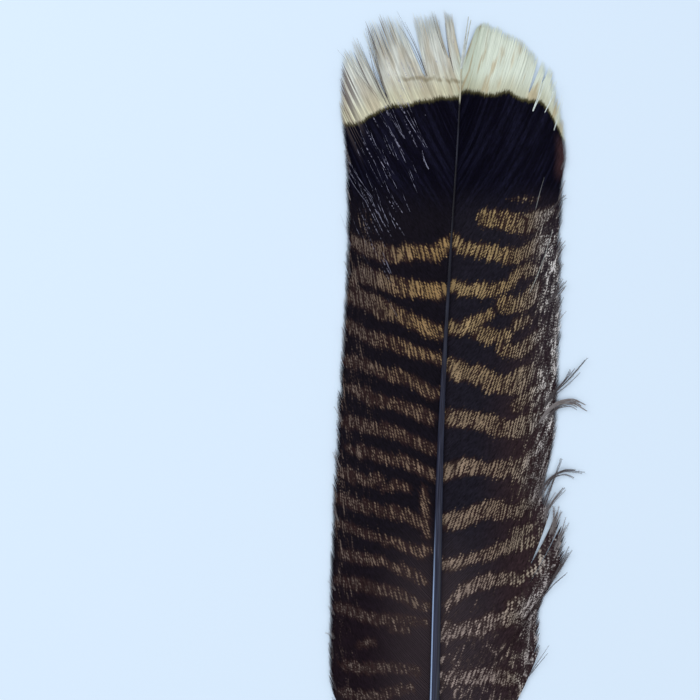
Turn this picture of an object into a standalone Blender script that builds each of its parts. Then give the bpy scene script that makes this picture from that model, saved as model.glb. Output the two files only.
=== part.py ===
"""A turkey's tail feather, lying flat with its upper side up.

The feather lies in the XY plane: the shaft runs along Y, the tip is at +Y and the bare quill at -Y. +Z is up.
The origin is at the middle of the feather's length and width, on the surface that it lies on.
Every barb follows one rule: a curve that leaves the shaft at a wide lean and bends towards the tip.
The table of a vane gives that curve at a few places along the shaft, and the barbs between follow smoothly.
"""
import math

import bmesh
import bpy
import numpy as np

MM = 0.001

# The shaft, from the end of the quill to the end of the rachis.
QUILL_END = -179.7 * MM
RACHIS_END = 161.9 * MM
SHAFT_STEPS = 56
SHAFT_LIFT = 1.3 * MM           # how far the shaft arches up off the surface
# The chord is the straight line that the shaft bows about and that the vanes are measured from.
CHORD_X = -1.39 * MM
# The shaft's bow: y, distance to the right of the chord.
SHAFT_BOW = [
    (-179.7, 2.3), (-120.0, 1.6), (-60.0, 0.6), (-20.0, -0.2), (36.0, -0.9), (80.0, -0.4), (110.0, 0.2),
    (135.0, 0.8), (161.9, 1.1),
]
# Radius of the shaft at stations along it: y, radius.
SHAFT_RADII = [
    (-179.7, 1.15), (-178.0, 1.75), (-172.0, 2.15), (-150.0, 2.4), (-128.0, 2.35), (-100.0, 2.05),
    (-61.0, 1.8), (-12.0, 1.5), (36.0, 1.05), (58.0, 0.85), (100.0, 0.45), (146.0, 0.3), (161.9, 0.25),
]

# The vanes.
VANE = {"rows": 46, "columns": 9, "thickness": 0.6 * MM}
DOWN = {"rows": 9, "columns": 6, "thickness": 1.6 * MM}
VANE_GAP = 0.35 * MM            # clear space between the shaft and a vane
FLAT_FROM = 0.62                # share of a barb's length where it comes down flat on the surface
HANDLE = 0.36                   # length of a barb curve's handles, as a share of its chord

# Barb curves: root y, lean at the root, tip's distance out from the chord, tip y, lean at the tip.
# Lengths are in millimetres and leans in degrees from the line of the shaft.
RIGHT_BARBS = [
    (-94.0, 52, 37.2, -41.0, 18), (-82.0, 51, 36.3, -30.0, 24), (-73.0, 50, 38.0, -23.0, 32),
    (-68.0, 50, 41.2, -17.5, 35), (-63.0, 49, 43.7, -10.0, 34), (-58.0, 49, 43.6, -2.0, 25),
    (-54.5, 49, 40.5, 5.2, 17), (-52.5, 49, 39.2, 7.2, 17), (-44.0, 48, 36.8, 16.0, 20),
    (-34.0, 47, 38.4, 27.0, 22), (-20.0, 45, 39.9, 41.0, 22), (20.0, 42, 39.2, 82.0, 21),
    (50.0, 40, 38.2, 115.0, 20), (66.0, 38, 38.7, 131.0, 17), (78.0, 37, 37.4, 141.0, 15),
    (88.0, 36, 35.2, 151.0, 15), (98.0, 34, 31.5, 161.0, 15), (106.0, 32, 27.6, 165.0, 14),
    (114.0, 30, 23.0, 168.8, 13), (124.0, 28, 17.0, 172.3, 13), (134.0, 25, 12.0, 174.8, 12),
    (146.0, 22, 8.4, 176.0, 12), (156.0, 22, 6.6, 175.0, 16), (161.6, 24, 5.6, 173.5, 22),
]
LEFT_BARBS = [
    (-111.0, 52, 34.6, -63.0, 24), (-100.0, 51, 36.5, -50.0, 24), (-80.0, 50, 37.2, -28.0, 22),
    (-50.0, 48, 37.5, 4.0, 22), (-10.0, 45, 37.2, 48.0, 22), (30.0, 42, 36.4, 90.0, 22),
    (60.0, 40, 37.8, 120.0, 23), (76.0, 39, 39.6, 137.0, 25), (88.0, 38, 41.0, 149.0, 26),
    (97.0, 37, 40.6, 160.0, 26), (105.0, 36, 37.6, 168.5, 25), (112.0, 35, 33.8, 173.6, 24),
    (120.0, 33, 28.6, 177.0, 23), (130.0, 31, 20.8, 178.4, 22), (140.0, 29, 14.0, 178.6, 19),
    (149.0, 26, 9.6, 179.0, 17), (156.0, 22, 6.2, 180.1, 12), (161.6, 14, 3.2, 178.5, 8),
]
RIGHT_DOWN = [
    (-142.0, 80, 9.0, -137.0, 60), (-132.0, 72, 20.0, -117.0, 50), (-120.0, 65, 26.0, -98.0, 42),
    (-109.0, 58, 27.0, -83.0, 36), (-98.0, 56, 25.0, -70.0, 34),
]
LEFT_DOWN = [
    (-142.0, 80, 9.0, -137.0, 60), (-134.0, 72, 20.0, -120.0, 50), (-125.0, 65, 26.5, -103.0, 42),
    (-113.5, 58, 27.5, -82.0, 36),
]

# Splits in a vane: root y of the barbs on either side, share of the barb's length where the split starts,
# width of the split at the tips, and how far along the shaft the barbs are pushed aside.
RIGHT_SPLITS = [(-53.5, 0.64, 2.1, 3.0), (99.0, 0.78, 0.9, 1.5), (104.0, 0.66, 1.5, 3.0)]
LEFT_SPLITS = [(109.0, 0.56, 3.0, 4.0), (131.0, 0.4, 4.4, 7.0), (153.0, 0.14, 2.6, 4.0)]
SPLIT_EDGE = 0.2 * MM           # how far the barbs that edge a split stand from its middle, along the shaft

DARK_HORN = (0.12, 0.14, 0.19)
BLACK_BROWN = (0.035, 0.025, 0.03)
GREY_DOWN = (0.32, 0.29, 0.27)


def ease(share):
    """Smooth step from 0 to 1 as share goes from 0 to 1."""
    share = np.clip(share, 0.0, 1.0)
    return share * share * (3.0 - 2.0 * share)


def follow(at, stations, values):
    """Value at a place on the smooth curve through the values at the stations, with no overshoot."""
    stations, values = np.asarray(stations, dtype=float), np.asarray(values, dtype=float)
    gaps = np.diff(stations)
    rises = np.diff(values) / gaps
    slopes = np.concatenate([[rises[0]], np.zeros(len(rises) - 1), [rises[-1]]])
    steady = rises[:-1] * rises[1:] > 0
    slopes[1:-1][steady] = 2.0 * (rises[:-1] * rises[1:])[steady] / (rises[:-1] + rises[1:])[steady]
    span = np.clip(np.searchsorted(stations, at) - 1, 0, len(gaps) - 1)
    t = np.clip((at - stations[span]) / gaps[span], 0.0, 1.0)
    blend = t * t * (3.0 - 2.0 * t)
    bend = gaps[span] * (slopes[span] * t * (1 - t) ** 2 - slopes[span + 1] * t * t * (1 - t))
    return values[span] + (values[span + 1] - values[span]) * blend + bend


def shaft_bow(y):
    """How far the shaft's middle line stands to the right of its chord."""
    stations, bows = np.array(SHAFT_BOW).T * MM
    return follow(y, stations, bows)


def shaft_radius(y):
    """Radius of the shaft."""
    stations, radii = np.array(SHAFT_RADII).T * MM
    return follow(y, stations, radii)


def shaft_height(y):
    """Z of the shaft's middle line: on the surface at the quill, arched along the vanes, low at the tip."""
    arch = np.sin(math.pi * np.clip((y - QUILL_END) / (RACHIS_END - QUILL_END), 0.0, 1.0))
    return shaft_radius(y) + 0.1 * MM + SHAFT_LIFT * arch


def barb_points(side, table, splits, root, shares):
    """Points (distance out from the chord, y, z) of the barb rooted at root, at shares of its length."""
    roots, leans, outs, ends, tip_leans = np.array(table, dtype=float).T
    at = root / MM
    lean = math.radians(follow(at, roots, leans))
    tip_lean = math.radians(follow(at, roots, tip_leans))
    start = np.array([side * float(shaft_bow(root)) + float(shaft_radius(root)) + VANE_GAP, root])
    tip = np.array([follow(at, roots, outs), follow(at, roots, ends)]) * MM
    reach = HANDLE * np.linalg.norm(tip - start)
    first = start + reach * np.array([math.sin(lean), math.cos(lean)])
    last = tip - reach * np.array([math.sin(tip_lean), math.cos(tip_lean)])
    t = np.asarray(shares)[:, None]
    flat = (1 - t) ** 3 * start + 3 * (1 - t) ** 2 * t * first + 3 * (1 - t) * t * t * last + t ** 3 * tip
    for split_root, split_start, width, spread in splits:
        distance = at - split_root
        push = 0.5 * width * MM * math.exp(-abs(distance) / spread)
        away = -1.0 if distance > 0 else 1.0
        flat[:, 0] += away * push * ease((t[:, 0] - split_start) / (1.0 - split_start))
    lift = max(0.0, float(shaft_height(root)) - VANE["thickness"])
    return np.column_stack([flat, lift * (1.0 - ease(t[:, 0] / FLAT_FROM))])


def row_roots(table, splits, rows):
    """Places along the shaft for the rows of a vane, with two rows close together at each split."""
    first, last = table[0][0] * MM, table[-1][0] * MM
    roots = list(np.linspace(first, last, rows))
    for split in splits:
        middle = split[0] * MM
        roots = [root for root in roots if abs(root - middle) > 4 * SPLIT_EDGE]
        roots += [middle - SPLIT_EDGE, middle + SPLIT_EDGE]
    return sorted(roots)


def make_sheet(name, side, table, splits, build, material, collection):
    """A vane or a tuft of down: a sheet of faces between rows of barbs, open at its splits, made solid."""
    columns = build["columns"]
    shares = np.linspace(0.0, 1.0, columns + 1)
    mesh = bmesh.new()
    roots = row_roots(table, splits, build["rows"])
    lines = []
    for root in roots:
        points = barb_points(side, table, splits, root, shares)
        lines.append([mesh.verts.new((CHORD_X + side * out, y, z)) for out, y, z in points])
    for below, above, low_root, high_root in zip(lines, lines[1:], roots, roots[1:]):
        limit = columns
        for split in splits:
            if low_root < split[0] * MM < high_root:
                limit = max(1, int(split[1] * columns))
        for column in range(limit):
            corners = [below[column], below[column + 1], above[column + 1], above[column]]
            mesh.faces.new(corners if side > 0 else corners[::-1])
    data = bpy.data.meshes.new(name)
    mesh.to_mesh(data)
    mesh.free()
    piece = bpy.data.objects.new(name, data)
    collection.objects.link(piece)
    solid = piece.modifiers.new("thickness", "SOLIDIFY")
    solid.thickness = build["thickness"]
    solid.offset = 1.0
    data.materials.append(material)
    return piece


def make_shaft(material, collection):
    """Quill and rachis: one tapering round tube with closed ends."""
    curve = bpy.data.curves.new("shaft", "CURVE")
    curve.dimensions = "3D"
    curve.bevel_depth = 1.0 * MM
    curve.bevel_resolution = 2
    curve.use_fill_caps = True
    line = curve.splines.new("POLY")
    line.points.add(SHAFT_STEPS)
    for index, y in enumerate(np.linspace(QUILL_END, RACHIS_END, SHAFT_STEPS + 1)):
        point = line.points[index]
        point.co = (CHORD_X + float(shaft_bow(y)), float(y), float(shaft_height(y)), 1.0)
        point.radius = float(shaft_radius(y)) / MM
    curve.materials.append(material)
    piece = bpy.data.objects.new("shaft", curve)
    collection.objects.link(piece)
    return piece


def make_material(name, color, roughness):
    """A plain coloured surface."""
    material = bpy.data.materials.new(name)
    material.use_nodes = True
    shader = material.node_tree.nodes["Principled BSDF"]
    shader.inputs["Base Color"].default_value = (*color, 1.0)
    shader.inputs["Roughness"].default_value = roughness
    shader.inputs["Metallic"].default_value = 0.0
    return material


def main():
    """Build the feather."""
    for thing in list(bpy.data.objects):
        bpy.data.objects.remove(thing, do_unlink=True)
    collection = bpy.data.collections.new("turkey_tail_feather")
    bpy.context.scene.collection.children.link(collection)
    horn = make_material("shaft", DARK_HORN, 0.35)
    barbs = make_material("vane", BLACK_BROWN, 0.6)
    down = make_material("down", GREY_DOWN, 0.9)
    make_shaft(horn, collection)
    make_sheet("right_vane", 1.0, RIGHT_BARBS, RIGHT_SPLITS, VANE, barbs, collection)
    make_sheet("left_vane", -1.0, LEFT_BARBS, LEFT_SPLITS, VANE, barbs, collection)
    make_sheet("right_down", 1.0, RIGHT_DOWN, [], DOWN, down, collection)
    make_sheet("left_down", -1.0, LEFT_DOWN, [], DOWN, down, collection)


main()
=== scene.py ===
"""Looks of a turkey's tail feather that lies flat with its upper side up.

Every barb is a strand of its own, with a ridge along it, and overlaps the next one like a slat. Places are in
millimetres in the feather's own terms until a mesh is made: distance out from the shaft's chord, and y along
it. The vane's markings are drawn as depths inside curved bars, and each barb carries its own small shift along
itself. Slanting noise then breaks the bars into strokes like the teeth of a comb.
"""
import math

import bpy
import numpy as np
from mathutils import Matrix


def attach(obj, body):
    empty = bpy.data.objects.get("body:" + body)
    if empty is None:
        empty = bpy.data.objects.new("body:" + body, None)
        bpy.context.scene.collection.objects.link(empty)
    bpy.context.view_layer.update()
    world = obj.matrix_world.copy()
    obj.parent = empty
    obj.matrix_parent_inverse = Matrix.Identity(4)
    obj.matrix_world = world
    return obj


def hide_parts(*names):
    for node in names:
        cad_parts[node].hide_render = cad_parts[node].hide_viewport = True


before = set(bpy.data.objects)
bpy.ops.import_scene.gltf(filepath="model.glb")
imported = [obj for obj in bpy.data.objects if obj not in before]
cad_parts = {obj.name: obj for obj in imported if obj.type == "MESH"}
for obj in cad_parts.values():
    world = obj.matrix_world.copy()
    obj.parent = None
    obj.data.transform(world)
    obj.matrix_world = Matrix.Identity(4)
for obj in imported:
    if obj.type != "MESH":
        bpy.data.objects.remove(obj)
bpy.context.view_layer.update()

MM = 0.001

# ---- the feather's shape, as the solids have it

QUILL_END = -179.7
RACHIS_END = 161.9
CHORD_X = -1.39
SHAFT_LIFT = 1.3
SHAFT_BOW = [
    (-179.7, 2.3), (-120, 1.6), (-60, 0.6), (-20, -0.2), (36, -0.9), (80, -0.4), (110, 0.2),
    (135, 0.8), (161.9, 1.1),
]
SHAFT_RADII = [
    (-179.7, 1.15), (-178, 1.75), (-172, 2.15), (-150, 2.4), (-128, 2.35), (-100, 2.05),
    (-61, 1.8), (-12, 1.5), (36, 1.05), (58, 0.85), (100, 0.45), (146, 0.3), (161.9, 0.25),
]
FLAT_FROM = 0.62  # share of a barb's length where it comes down to the surface
HANDLE = 0.36  # length of a barb curve's handles, as a share of its chord
VANE_THICKNESS = 0.6

# Barb curves: root y, lean at the root, tip's distance out from the chord, tip y, lean at the tip.
RIGHT_BARBS = [
    (-94, 52, 37.2, -41, 18), (-82, 51, 36.3, -30, 24), (-73, 50, 38, -23, 32),
    (-68, 50, 41.2, -17.5, 35), (-63, 49, 43.7, -10, 34), (-58, 49, 43.6, -2, 25),
    (-54.5, 49, 40.5, 5.2, 17), (-52.5, 49, 39.2, 7.2, 17), (-44, 48, 36.8, 16, 20),
    (-34, 47, 38.4, 27, 22), (-20, 45, 39.9, 41, 22), (20, 42, 39.2, 82, 21),
    (50, 40, 38.2, 115, 20), (66, 38, 38.7, 131, 17), (78, 37, 37.4, 141, 15),
    (88, 36, 35.2, 151, 15), (98, 34, 31.5, 161, 15), (106, 32, 27.6, 165, 14),
    (114, 30, 23, 168.8, 13), (124, 28, 17, 172.3, 13), (134, 25, 12, 174.8, 12),
    (146, 22, 8.4, 176, 12), (156, 22, 6.6, 175, 16), (161.6, 24, 5.6, 173.5, 22),
]
LEFT_BARBS = [
    (-111, 52, 34.6, -63, 24), (-100, 51, 36.5, -50, 24), (-80, 50, 37.2, -28, 22),
    (-50, 48, 37.5, 4, 22), (-10, 45, 37.2, 48, 22), (30, 42, 36.4, 90, 22),
    (60, 40, 37.8, 120, 23), (76, 39, 39.6, 137, 25), (88, 38, 41, 149, 26),
    (97, 37, 40.6, 160, 26), (105, 36, 37.6, 168.5, 25), (112, 35, 33.8, 173.6, 24),
    (120, 33, 28.6, 177, 23), (130, 31, 20.8, 178.4, 22), (140, 29, 14, 178.6, 19),
    (149, 26, 9.6, 179, 17), (156, 22, 6.2, 180.1, 12), (161.6, 14, 3.2, 178.5, 8),
]
RIGHT_DOWN = [
    (-142, 80, 9, -137, 60), (-132, 72, 20, -117, 50), (-120, 65, 26, -98, 42),
    (-109, 58, 27, -83, 36), (-98, 56, 25, -70, 34),
]
LEFT_DOWN = [
    (-142, 80, 9, -137, 60), (-134, 72, 20, -120, 50), (-125, 65, 26.5, -103, 42),
    (-113.5, 58, 27.5, -82, 36),
]
# Splits: root y of the barbs beside it, share of their length where it starts, width at the tips, spread.
RIGHT_SPLITS = [(-53.5, 0.64, 2.1, 3), (99, 0.78, 0.9, 1.5), (104, 0.66, 1.5, 3)]
LEFT_SPLITS = [(109, 0.56, 3, 4), (131, 0.4, 4.4, 7), (153, 0.14, 2.6, 4)]

# ---- the markings

# Bars across the vane: half thickness, then the points of its middle line as distance out from the chord, y.
# A bar with less than no thickness shows only as a few specks.
RIGHT_BARS = [
    (2.5, (12, 107.5), (15, 107.5), (20, 106.5), (25, 106), (30, 108), (34, 111)),
    (-0.5, (20, 114.4), (30, 115)),
    (1.8, (0.5, 99.5), (3, 97.5), (6, 96.5), (10, 96), (15, 95.5), (20, 94.8), (25, 95.5), (28, 97.5),
     (31, 100), (35, 101)),
    (1.4, (23, 88), (27, 90), (31, 91)),
    (1.6, (0.5, 83), (5, 82.3), (10, 82.5), (15, 83), (20, 84.5), (21.5, 85.5)),
    (1.9, (18.5, 77.5), (24, 77.5), (28, 80), (31, 85)),
    (1.7, (0.5, 69), (5, 69), (8, 71), (11, 72), (14.5, 74)),
    (1.9, (10, 67), (15, 66.5), (21, 67)),
    (1.5, (19, 62.5), (25, 61.5), (28, 63.5), (31, 66.5), (33, 69)),
    (1.2, (24, 71), (28, 73)),
    (2.6, (0.5, 55), (5, 53.5), (10, 53), (13, 52.5), (16, 50), (20, 49.5), (25, 50), (27, 53), (30, 55)),
    (1.2, (25, 42.5), (28, 45), (32, 49), (36, 51)),
    (2.4, (0.5, 37.5), (5, 37.5), (10, 37), (20, 35), (25, 34.5), (28, 36), (34, 40)),
    (2.2, (0.5, 18), (4, 19.5), (8, 21), (12, 21), (15.6, 20)),
    (2.2, (18.5, 20.5), (22, 20.5), (26, 21.5), (30, 22)),
    (1.1, (27, 18), (34, 18)),
    (1.1, (30, 25), (33, 27)),
    (2.4, (0.5, 1.5), (5, 2), (8, 2.5), (14, 5.5), (18, 6.5), (22, 6), (27, 5)),
    (1.2, (29, 8), (32, 9), (34, 10.5)),
    (1.4, (0.5, -13.5), (5, -13.5), (10, -11.5), (15, -10.5), (18, -9.5), (24, -6.5), (27, -6), (31, -5.5),
     (34, -4)),
    (1.4, (27, -2.5), (32, 0.5)),
    (1.2, (4, -27.5), (9, -22.5)),
    (1.8, (9, -22.5), (15, -19.5), (20, -18.3), (25, -18), (29, -18.5)),
    (1, (30, -17), (34, -15), (40, -13.5)),
    (2.5, (3, -36), (10, -36), (15, -35), (20, -33), (30, -31)),
    (1.2, (26, -26.5), (33, -26.5)),
    (2.2, (3, -53), (8, -53), (20, -52), (30, -53)),
    (2, (3, -68), (12, -68), (22, -66), (30, -64)),
    (1.8, (3, -82), (12, -80), (24, -76)),
]
LEFT_BARS = [
    (2.1, (0.5, 98), (3, 96.5), (6, 94.5), (10, 94.8), (15, 94), (20, 93), (25, 94.5), (30, 95.5),
     (34, 97.5)),
    (2.2, (0.5, 81), (5, 81), (15, 82), (20, 83), (25, 84.5), (31, 86.5), (34, 84)),
    (1.9, (0.5, 66.5), (5, 67.5), (15, 71.5), (20, 74), (30, 78), (34, 79), (37, 77.5)),
    (0.9, (22, 72), (28, 75)),
    (1.5, (0.5, 57), (5, 58.5), (10, 59.5), (15, 61), (20, 63), (25, 64), (30, 66), (33, 67.5), (37, 69)),
    (1.4, (0.5, 45.5), (5, 45.5), (8, 47.5), (12, 50), (16, 51.5), (20, 52), (30, 55), (35, 56), (38, 56.5)),
    (1.5, (4.5, 37), (8, 38.5), (16, 41.5), (24, 42), (28, 44.5), (33, 46.5)),
    (1.5, (1, 26.5), (5, 27), (8, 28), (20, 32.5), (24, 32.5), (28, 33.5), (33, 34.5), (38, 35)),
    (1.3, (1, 16.5), (5, 18), (8, 19), (12, 21.5), (20, 22.5), (28, 24.5), (33, 25.5)),
    (0.9, (6, 12), (5.2, 4), (4.5, -4)),
    (1, (12, 12.5), (16, 13.5), (20, 11.5)),
    (1.3, (22, 15), (26, 14.5), (30, 15), (34, 17), (38, 17.5)),
    (1.5, (8, 1), (12, 3), (16, 4), (20, 4), (30, 6), (35, 7.5), (38, 8)),
    (1.3, (4, -9), (7, -9.5), (11, -8), (15, -7), (19, -6.5)),
    (0.9, (22, -5), (27, -4), (36, -1)),
    (1.3, (5, -20), (7, -18), (13, -16), (17, -14.5)),
    (1.3, (20, -13.5), (25, -13.5), (30, -12.5), (34, -11)),
    (1.5, (4, -28), (8, -27.5), (12, -25), (15, -24), (20, -24), (25, -22.5), (30, -21.5), (35, -21)),
    (1.4, (4, -34), (10, -33.5), (20, -34), (25, -33), (35, -30)),
    (1, (10, -37), (15, -37)),
    (1, (22, -42), (26, -43.5)),
    (1.4, (6, -51), (12, -50), (20, -51), (25, -51.5), (32, -50)),
    (1.3, (8, -57), (20, -61), (26, -61), (32, -60)),
    (1.4, (4, -72), (14, -72), (26, -70)),
    (1.3, (4, -86), (14, -85), (24, -82)),
]
# Where the black band ends and the cream tip begins: distance out from the chord, y.
RIGHT_CREAM = [
    (0, 150), (3, 151.5), (6, 151.8), (10, 151), (13, 150.7), (15, 151.5), (18, 151.8), (20, 150.5),
    (24, 149.3), (27, 149), (30, 148), (32, 146), (34, 142.5), (36, 139.5), (37.5, 136.5), (40, 133),
]
LEFT_CREAM = [
    (0, 148.8), (5, 148.6), (10, 147.8), (15, 146.6), (19, 145.5), (22, 145.5), (26, 143.5), (30, 141.5),
    (33, 139), (36, 138), (42, 138),
]

# ---- the vane's strands

BARB_SPACING = 0.6  # along the shaft
ROOT_STRAY = 0.12  # how far a barb's root strays from its even place
BARB_SHARES = np.linspace(0, 1, 49)  # where a strand's points lie, as shares of the barb's length
SMALLEST_CLUMP, LARGEST_CLUMP = 4, 13  # neighbouring barbs that cling together
OVERLAP = 1.25  # a strand's width over the space between it and its neighbours
OPEN_GAP = 0.9  # neighbours further apart than this have a split between them
WIDEST = 0.5  # half width of the widest strand
NARROWEST = 0.06
RIDGE = 0.13  # height of the ridge over a strand's edges
TILT = math.radians(11)  # how far a strand leans under its neighbour
TIP_TAPER = 0.07  # share of a strand's length where it narrows to its tip
ZONE = 14  # how many millimetres of roots it takes for barbs to turn downy or loose
# How the cream tip's barbs fray: root where it starts, how loose the topmost lie, how much shorter they end,
# how much thinner at least and at most, and the share of their length where they thin.
RIGHT_FRAY = (100, 0.55, 0.03, 0, 0.35, 0.9)
LEFT_FRAY = (96, 1, 0.07, 0.35, 0.8, 0.72)


def ease(share):
    """Smooth step from 0 to 1 as share goes from 0 to 1."""
    share = np.clip(share, 0, 1)
    return share * share * (3 - 2 * share)


def follow(at, stations, values):
    """Value at a place on the smooth curve through the values at the stations, with no overshoot."""
    stations, values = np.asarray(stations, dtype=float), np.asarray(values, dtype=float)
    gaps = np.diff(stations)
    rises = np.diff(values) / gaps
    slopes = np.concatenate([[rises[0]], np.zeros(len(rises) - 1), [rises[-1]]])
    steady = rises[:-1] * rises[1:] > 0
    slopes[1:-1][steady] = 2 * (rises[:-1] * rises[1:])[steady] / (rises[:-1] + rises[1:])[steady]
    span = np.clip(np.searchsorted(stations, at) - 1, 0, len(gaps) - 1)
    t = np.clip((at - stations[span]) / gaps[span], 0, 1)
    bend = gaps[span] * (slopes[span] * t * (1 - t) ** 2 - slopes[span + 1] * t * t * (1 - t))
    return values[span] + (values[span + 1] - values[span]) * ease(t) + bend


def shaft_bow(y):
    """How far the shaft's middle line stands to the right of its chord."""
    return follow(y, *np.array(SHAFT_BOW).T)


def shaft_radius(y):
    """Radius of the shaft."""
    return follow(y, *np.array(SHAFT_RADII).T)


def shaft_height(y):
    """Z of the shaft's middle line."""
    arch = np.sin(math.pi * np.clip((y - QUILL_END) / (RACHIS_END - QUILL_END), 0, 1))
    return shaft_radius(y) + 0.1 + SHAFT_LIFT * arch


def barb_points(side, table, splits, root, shares):
    """Points (distance out from the chord, y, z) of the barb rooted at root, at shares of its length."""
    roots, leans, outs, ends, tip_leans = np.array(table, dtype=float).T
    lean = math.radians(follow(root, roots, leans))
    tip_lean = math.radians(follow(root, roots, tip_leans))
    start = np.array([side * float(shaft_bow(root)) + 0.8 * float(shaft_radius(root)), root])
    tip = np.array([follow(root, roots, outs), follow(root, roots, ends)])
    reach = HANDLE * np.linalg.norm(tip - start)
    first = start + reach * np.array([math.sin(lean), math.cos(lean)])
    last = tip - reach * np.array([math.sin(tip_lean), math.cos(tip_lean)])
    t = np.asarray(shares)[:, None]
    flat = (1 - t) ** 3 * start + 3 * (1 - t) ** 2 * t * first + 3 * (1 - t) * t * t * last + t ** 3 * tip
    for split_root, split_start, width, spread in splits:
        distance = root - split_root
        push = 0.5 * width * math.exp(-abs(distance) / spread)
        away = -1 if distance > 0 else 1
        flat[:, 0] += away * push * ease((t[:, 0] - split_start) / (1 - split_start))
    lift = max(0, float(shaft_height(root)) - VANE_THICKNESS)
    return np.column_stack([flat, lift * (1 - ease(t[:, 0] / FLAT_FROM))])


def clumps(roots, splits, rng):
    """The number of each barb's clump, and the middle of its roots. No clump reaches over a split."""
    starts = [0]
    while starts[-1] < len(roots):
        size = int(rng.integers(SMALLEST_CLUMP, LARGEST_CLUMP + 1))
        stop = min(starts[-1] + size, len(roots))
        for split in splits:
            crossing = int(np.searchsorted(roots, split[0]))
            if starts[-1] < crossing < stop:
                stop = crossing
        starts.append(stop)
    number = np.searchsorted(starts, np.arange(len(roots)), side="right") - 1
    low = roots[np.array(starts)[number]]
    high = roots[np.array(starts)[number + 1] - 1]
    return number, (low + high) / 2


def depth_in_bars(bars, x, y):
    """How deep each place lies inside the nearest bar, in millimetres: negative outside them all."""
    deepest = np.full(x.shape, -math.inf)
    for half, *points in bars:
        line = np.array(points, dtype=float)
        end = line[-1]
        for (x0, y0), (x1, y1) in zip(line, line[1:]):
            run, rise = x1 - x0, y1 - y0
            share = np.clip(((x - x0) * run + (y - y0) * rise) / (run * run + rise * rise), 0, 1)
            near_x, near_y = x0 + share * run, y0 + share * rise
            thinned = np.clip(0.5 + 0.125 * np.hypot(near_x - end[0], near_y - end[1]), 0.5, 1)
            deepest = np.maximum(deepest, half * thinned - np.hypot(x - near_x, y - near_y))
    return deepest


def wander(rng, count, reach):
    """Random values for a row of barbs, alike over about reach barbs, with a spread of 1."""
    raw = rng.normal(size=count + 6 * reach)
    bell = np.exp(-0.5 * (np.arange(-3 * reach, 3 * reach + 1) / reach) ** 2)
    return np.convolve(raw, bell / math.sqrt((bell ** 2).sum()), mode="valid")[:count]


def directions(paths):
    """The direction of each path at each of its points."""
    ahead = np.gradient(paths, axis=1)
    return ahead / np.linalg.norm(ahead, axis=2, keepdims=True)


def distances(paths):
    """How far along its path each point lies."""
    steps = np.linalg.norm(np.diff(paths, axis=-2), axis=-1)
    return np.concatenate([np.zeros_like(steps[..., :1]), np.cumsum(steps, axis=-1)], axis=-1)


def per_strand(numbers, points):
    """One number for each strand, the same at all its points."""
    return np.repeat(np.array(numbers, dtype=float)[:, None], points, axis=1)


def outline_out(table, y):
    """How far out from the chord the vane's edge stands at y."""
    roots = np.linspace(table[0][0], table[-1][0], 160)
    columns = np.array(table, dtype=float).T
    outs, ends = follow(roots, columns[0], columns[2]), follow(roots, columns[0], columns[3])
    order = np.argsort(ends)
    return np.interp(y, ends[order], outs[order])


def beside_chord(side, points):
    """Points out from the chord as places on the feather, both in millimetres."""
    placed = np.array(points, dtype=float)
    placed[..., 0] = CHORD_X + side * placed[..., 0]
    return placed


# ---- strands as meshes

def add_object(name, data):
    """A new object in the scene."""
    made = bpy.data.objects.new(name, data)
    bpy.context.scene.collection.objects.link(made)
    return made


def carry(mesh, name, numbers):
    """Gives the mesh's points a number that the material reads."""
    attribute = mesh.attributes.new(name, "FLOAT", "POINT")
    attribute.data.foreach_set("value", np.asarray(numbers, dtype=np.float32).ravel())


def add_strands(name, paths, half_widths, ridges, tilt, material, values, banks=2):
    """A mesh of separate strands, each a closed lens-shaped ribbon along its path.

    paths is strands x points x 3, in millimetres. values maps names to numbers, strands x points. In the map
    the strands' upper faces lie in rows, one for each bank, and their undersides above them.
    """
    strands, points = paths.shape[:2]
    ahead = directions(paths)
    across = np.cross(ahead, [0, 0, 1])
    across /= np.linalg.norm(across, axis=2, keepdims=True)
    leaning = across * math.cos(tilt) + np.cross(across, ahead) * math.sin(tilt)
    rising = np.cross(leaning, ahead)
    width, ridge = half_widths[..., None], ridges[..., None]
    around = (-leaning * width, rising * ridge, leaning * width, -rising * 0.35 * ridge)
    corners = np.stack([paths + offset for offset in around], axis=2)
    index = np.arange(strands * points * 4).reshape(strands, points, 4)
    turned = np.roll(index, -1, axis=2)
    sides = np.stack([index[:, :-1], turned[:, :-1], turned[:, 1:], index[:, 1:]], axis=-1)
    faces = np.concatenate([sides.reshape(-1, 4), index[:, 0, ::-1], index[:, -1]])
    mesh = bpy.data.meshes.new(name)
    mesh.from_pydata((corners.reshape(-1, 3) * MM).tolist(), [], faces.tolist())
    for key, numbers in values.items():
        carry(mesh, key, np.repeat(numbers.reshape(-1), 4))
    carry(mesh, "across", np.tile([-1, 0, 1, 0], strands * points))
    map_strands(mesh, strands, points, banks)
    mesh.shade_smooth()
    mesh.set_sharp_from_angle(angle=math.radians(35))
    mesh.materials.append(material)
    return add_object(name, mesh)


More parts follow.
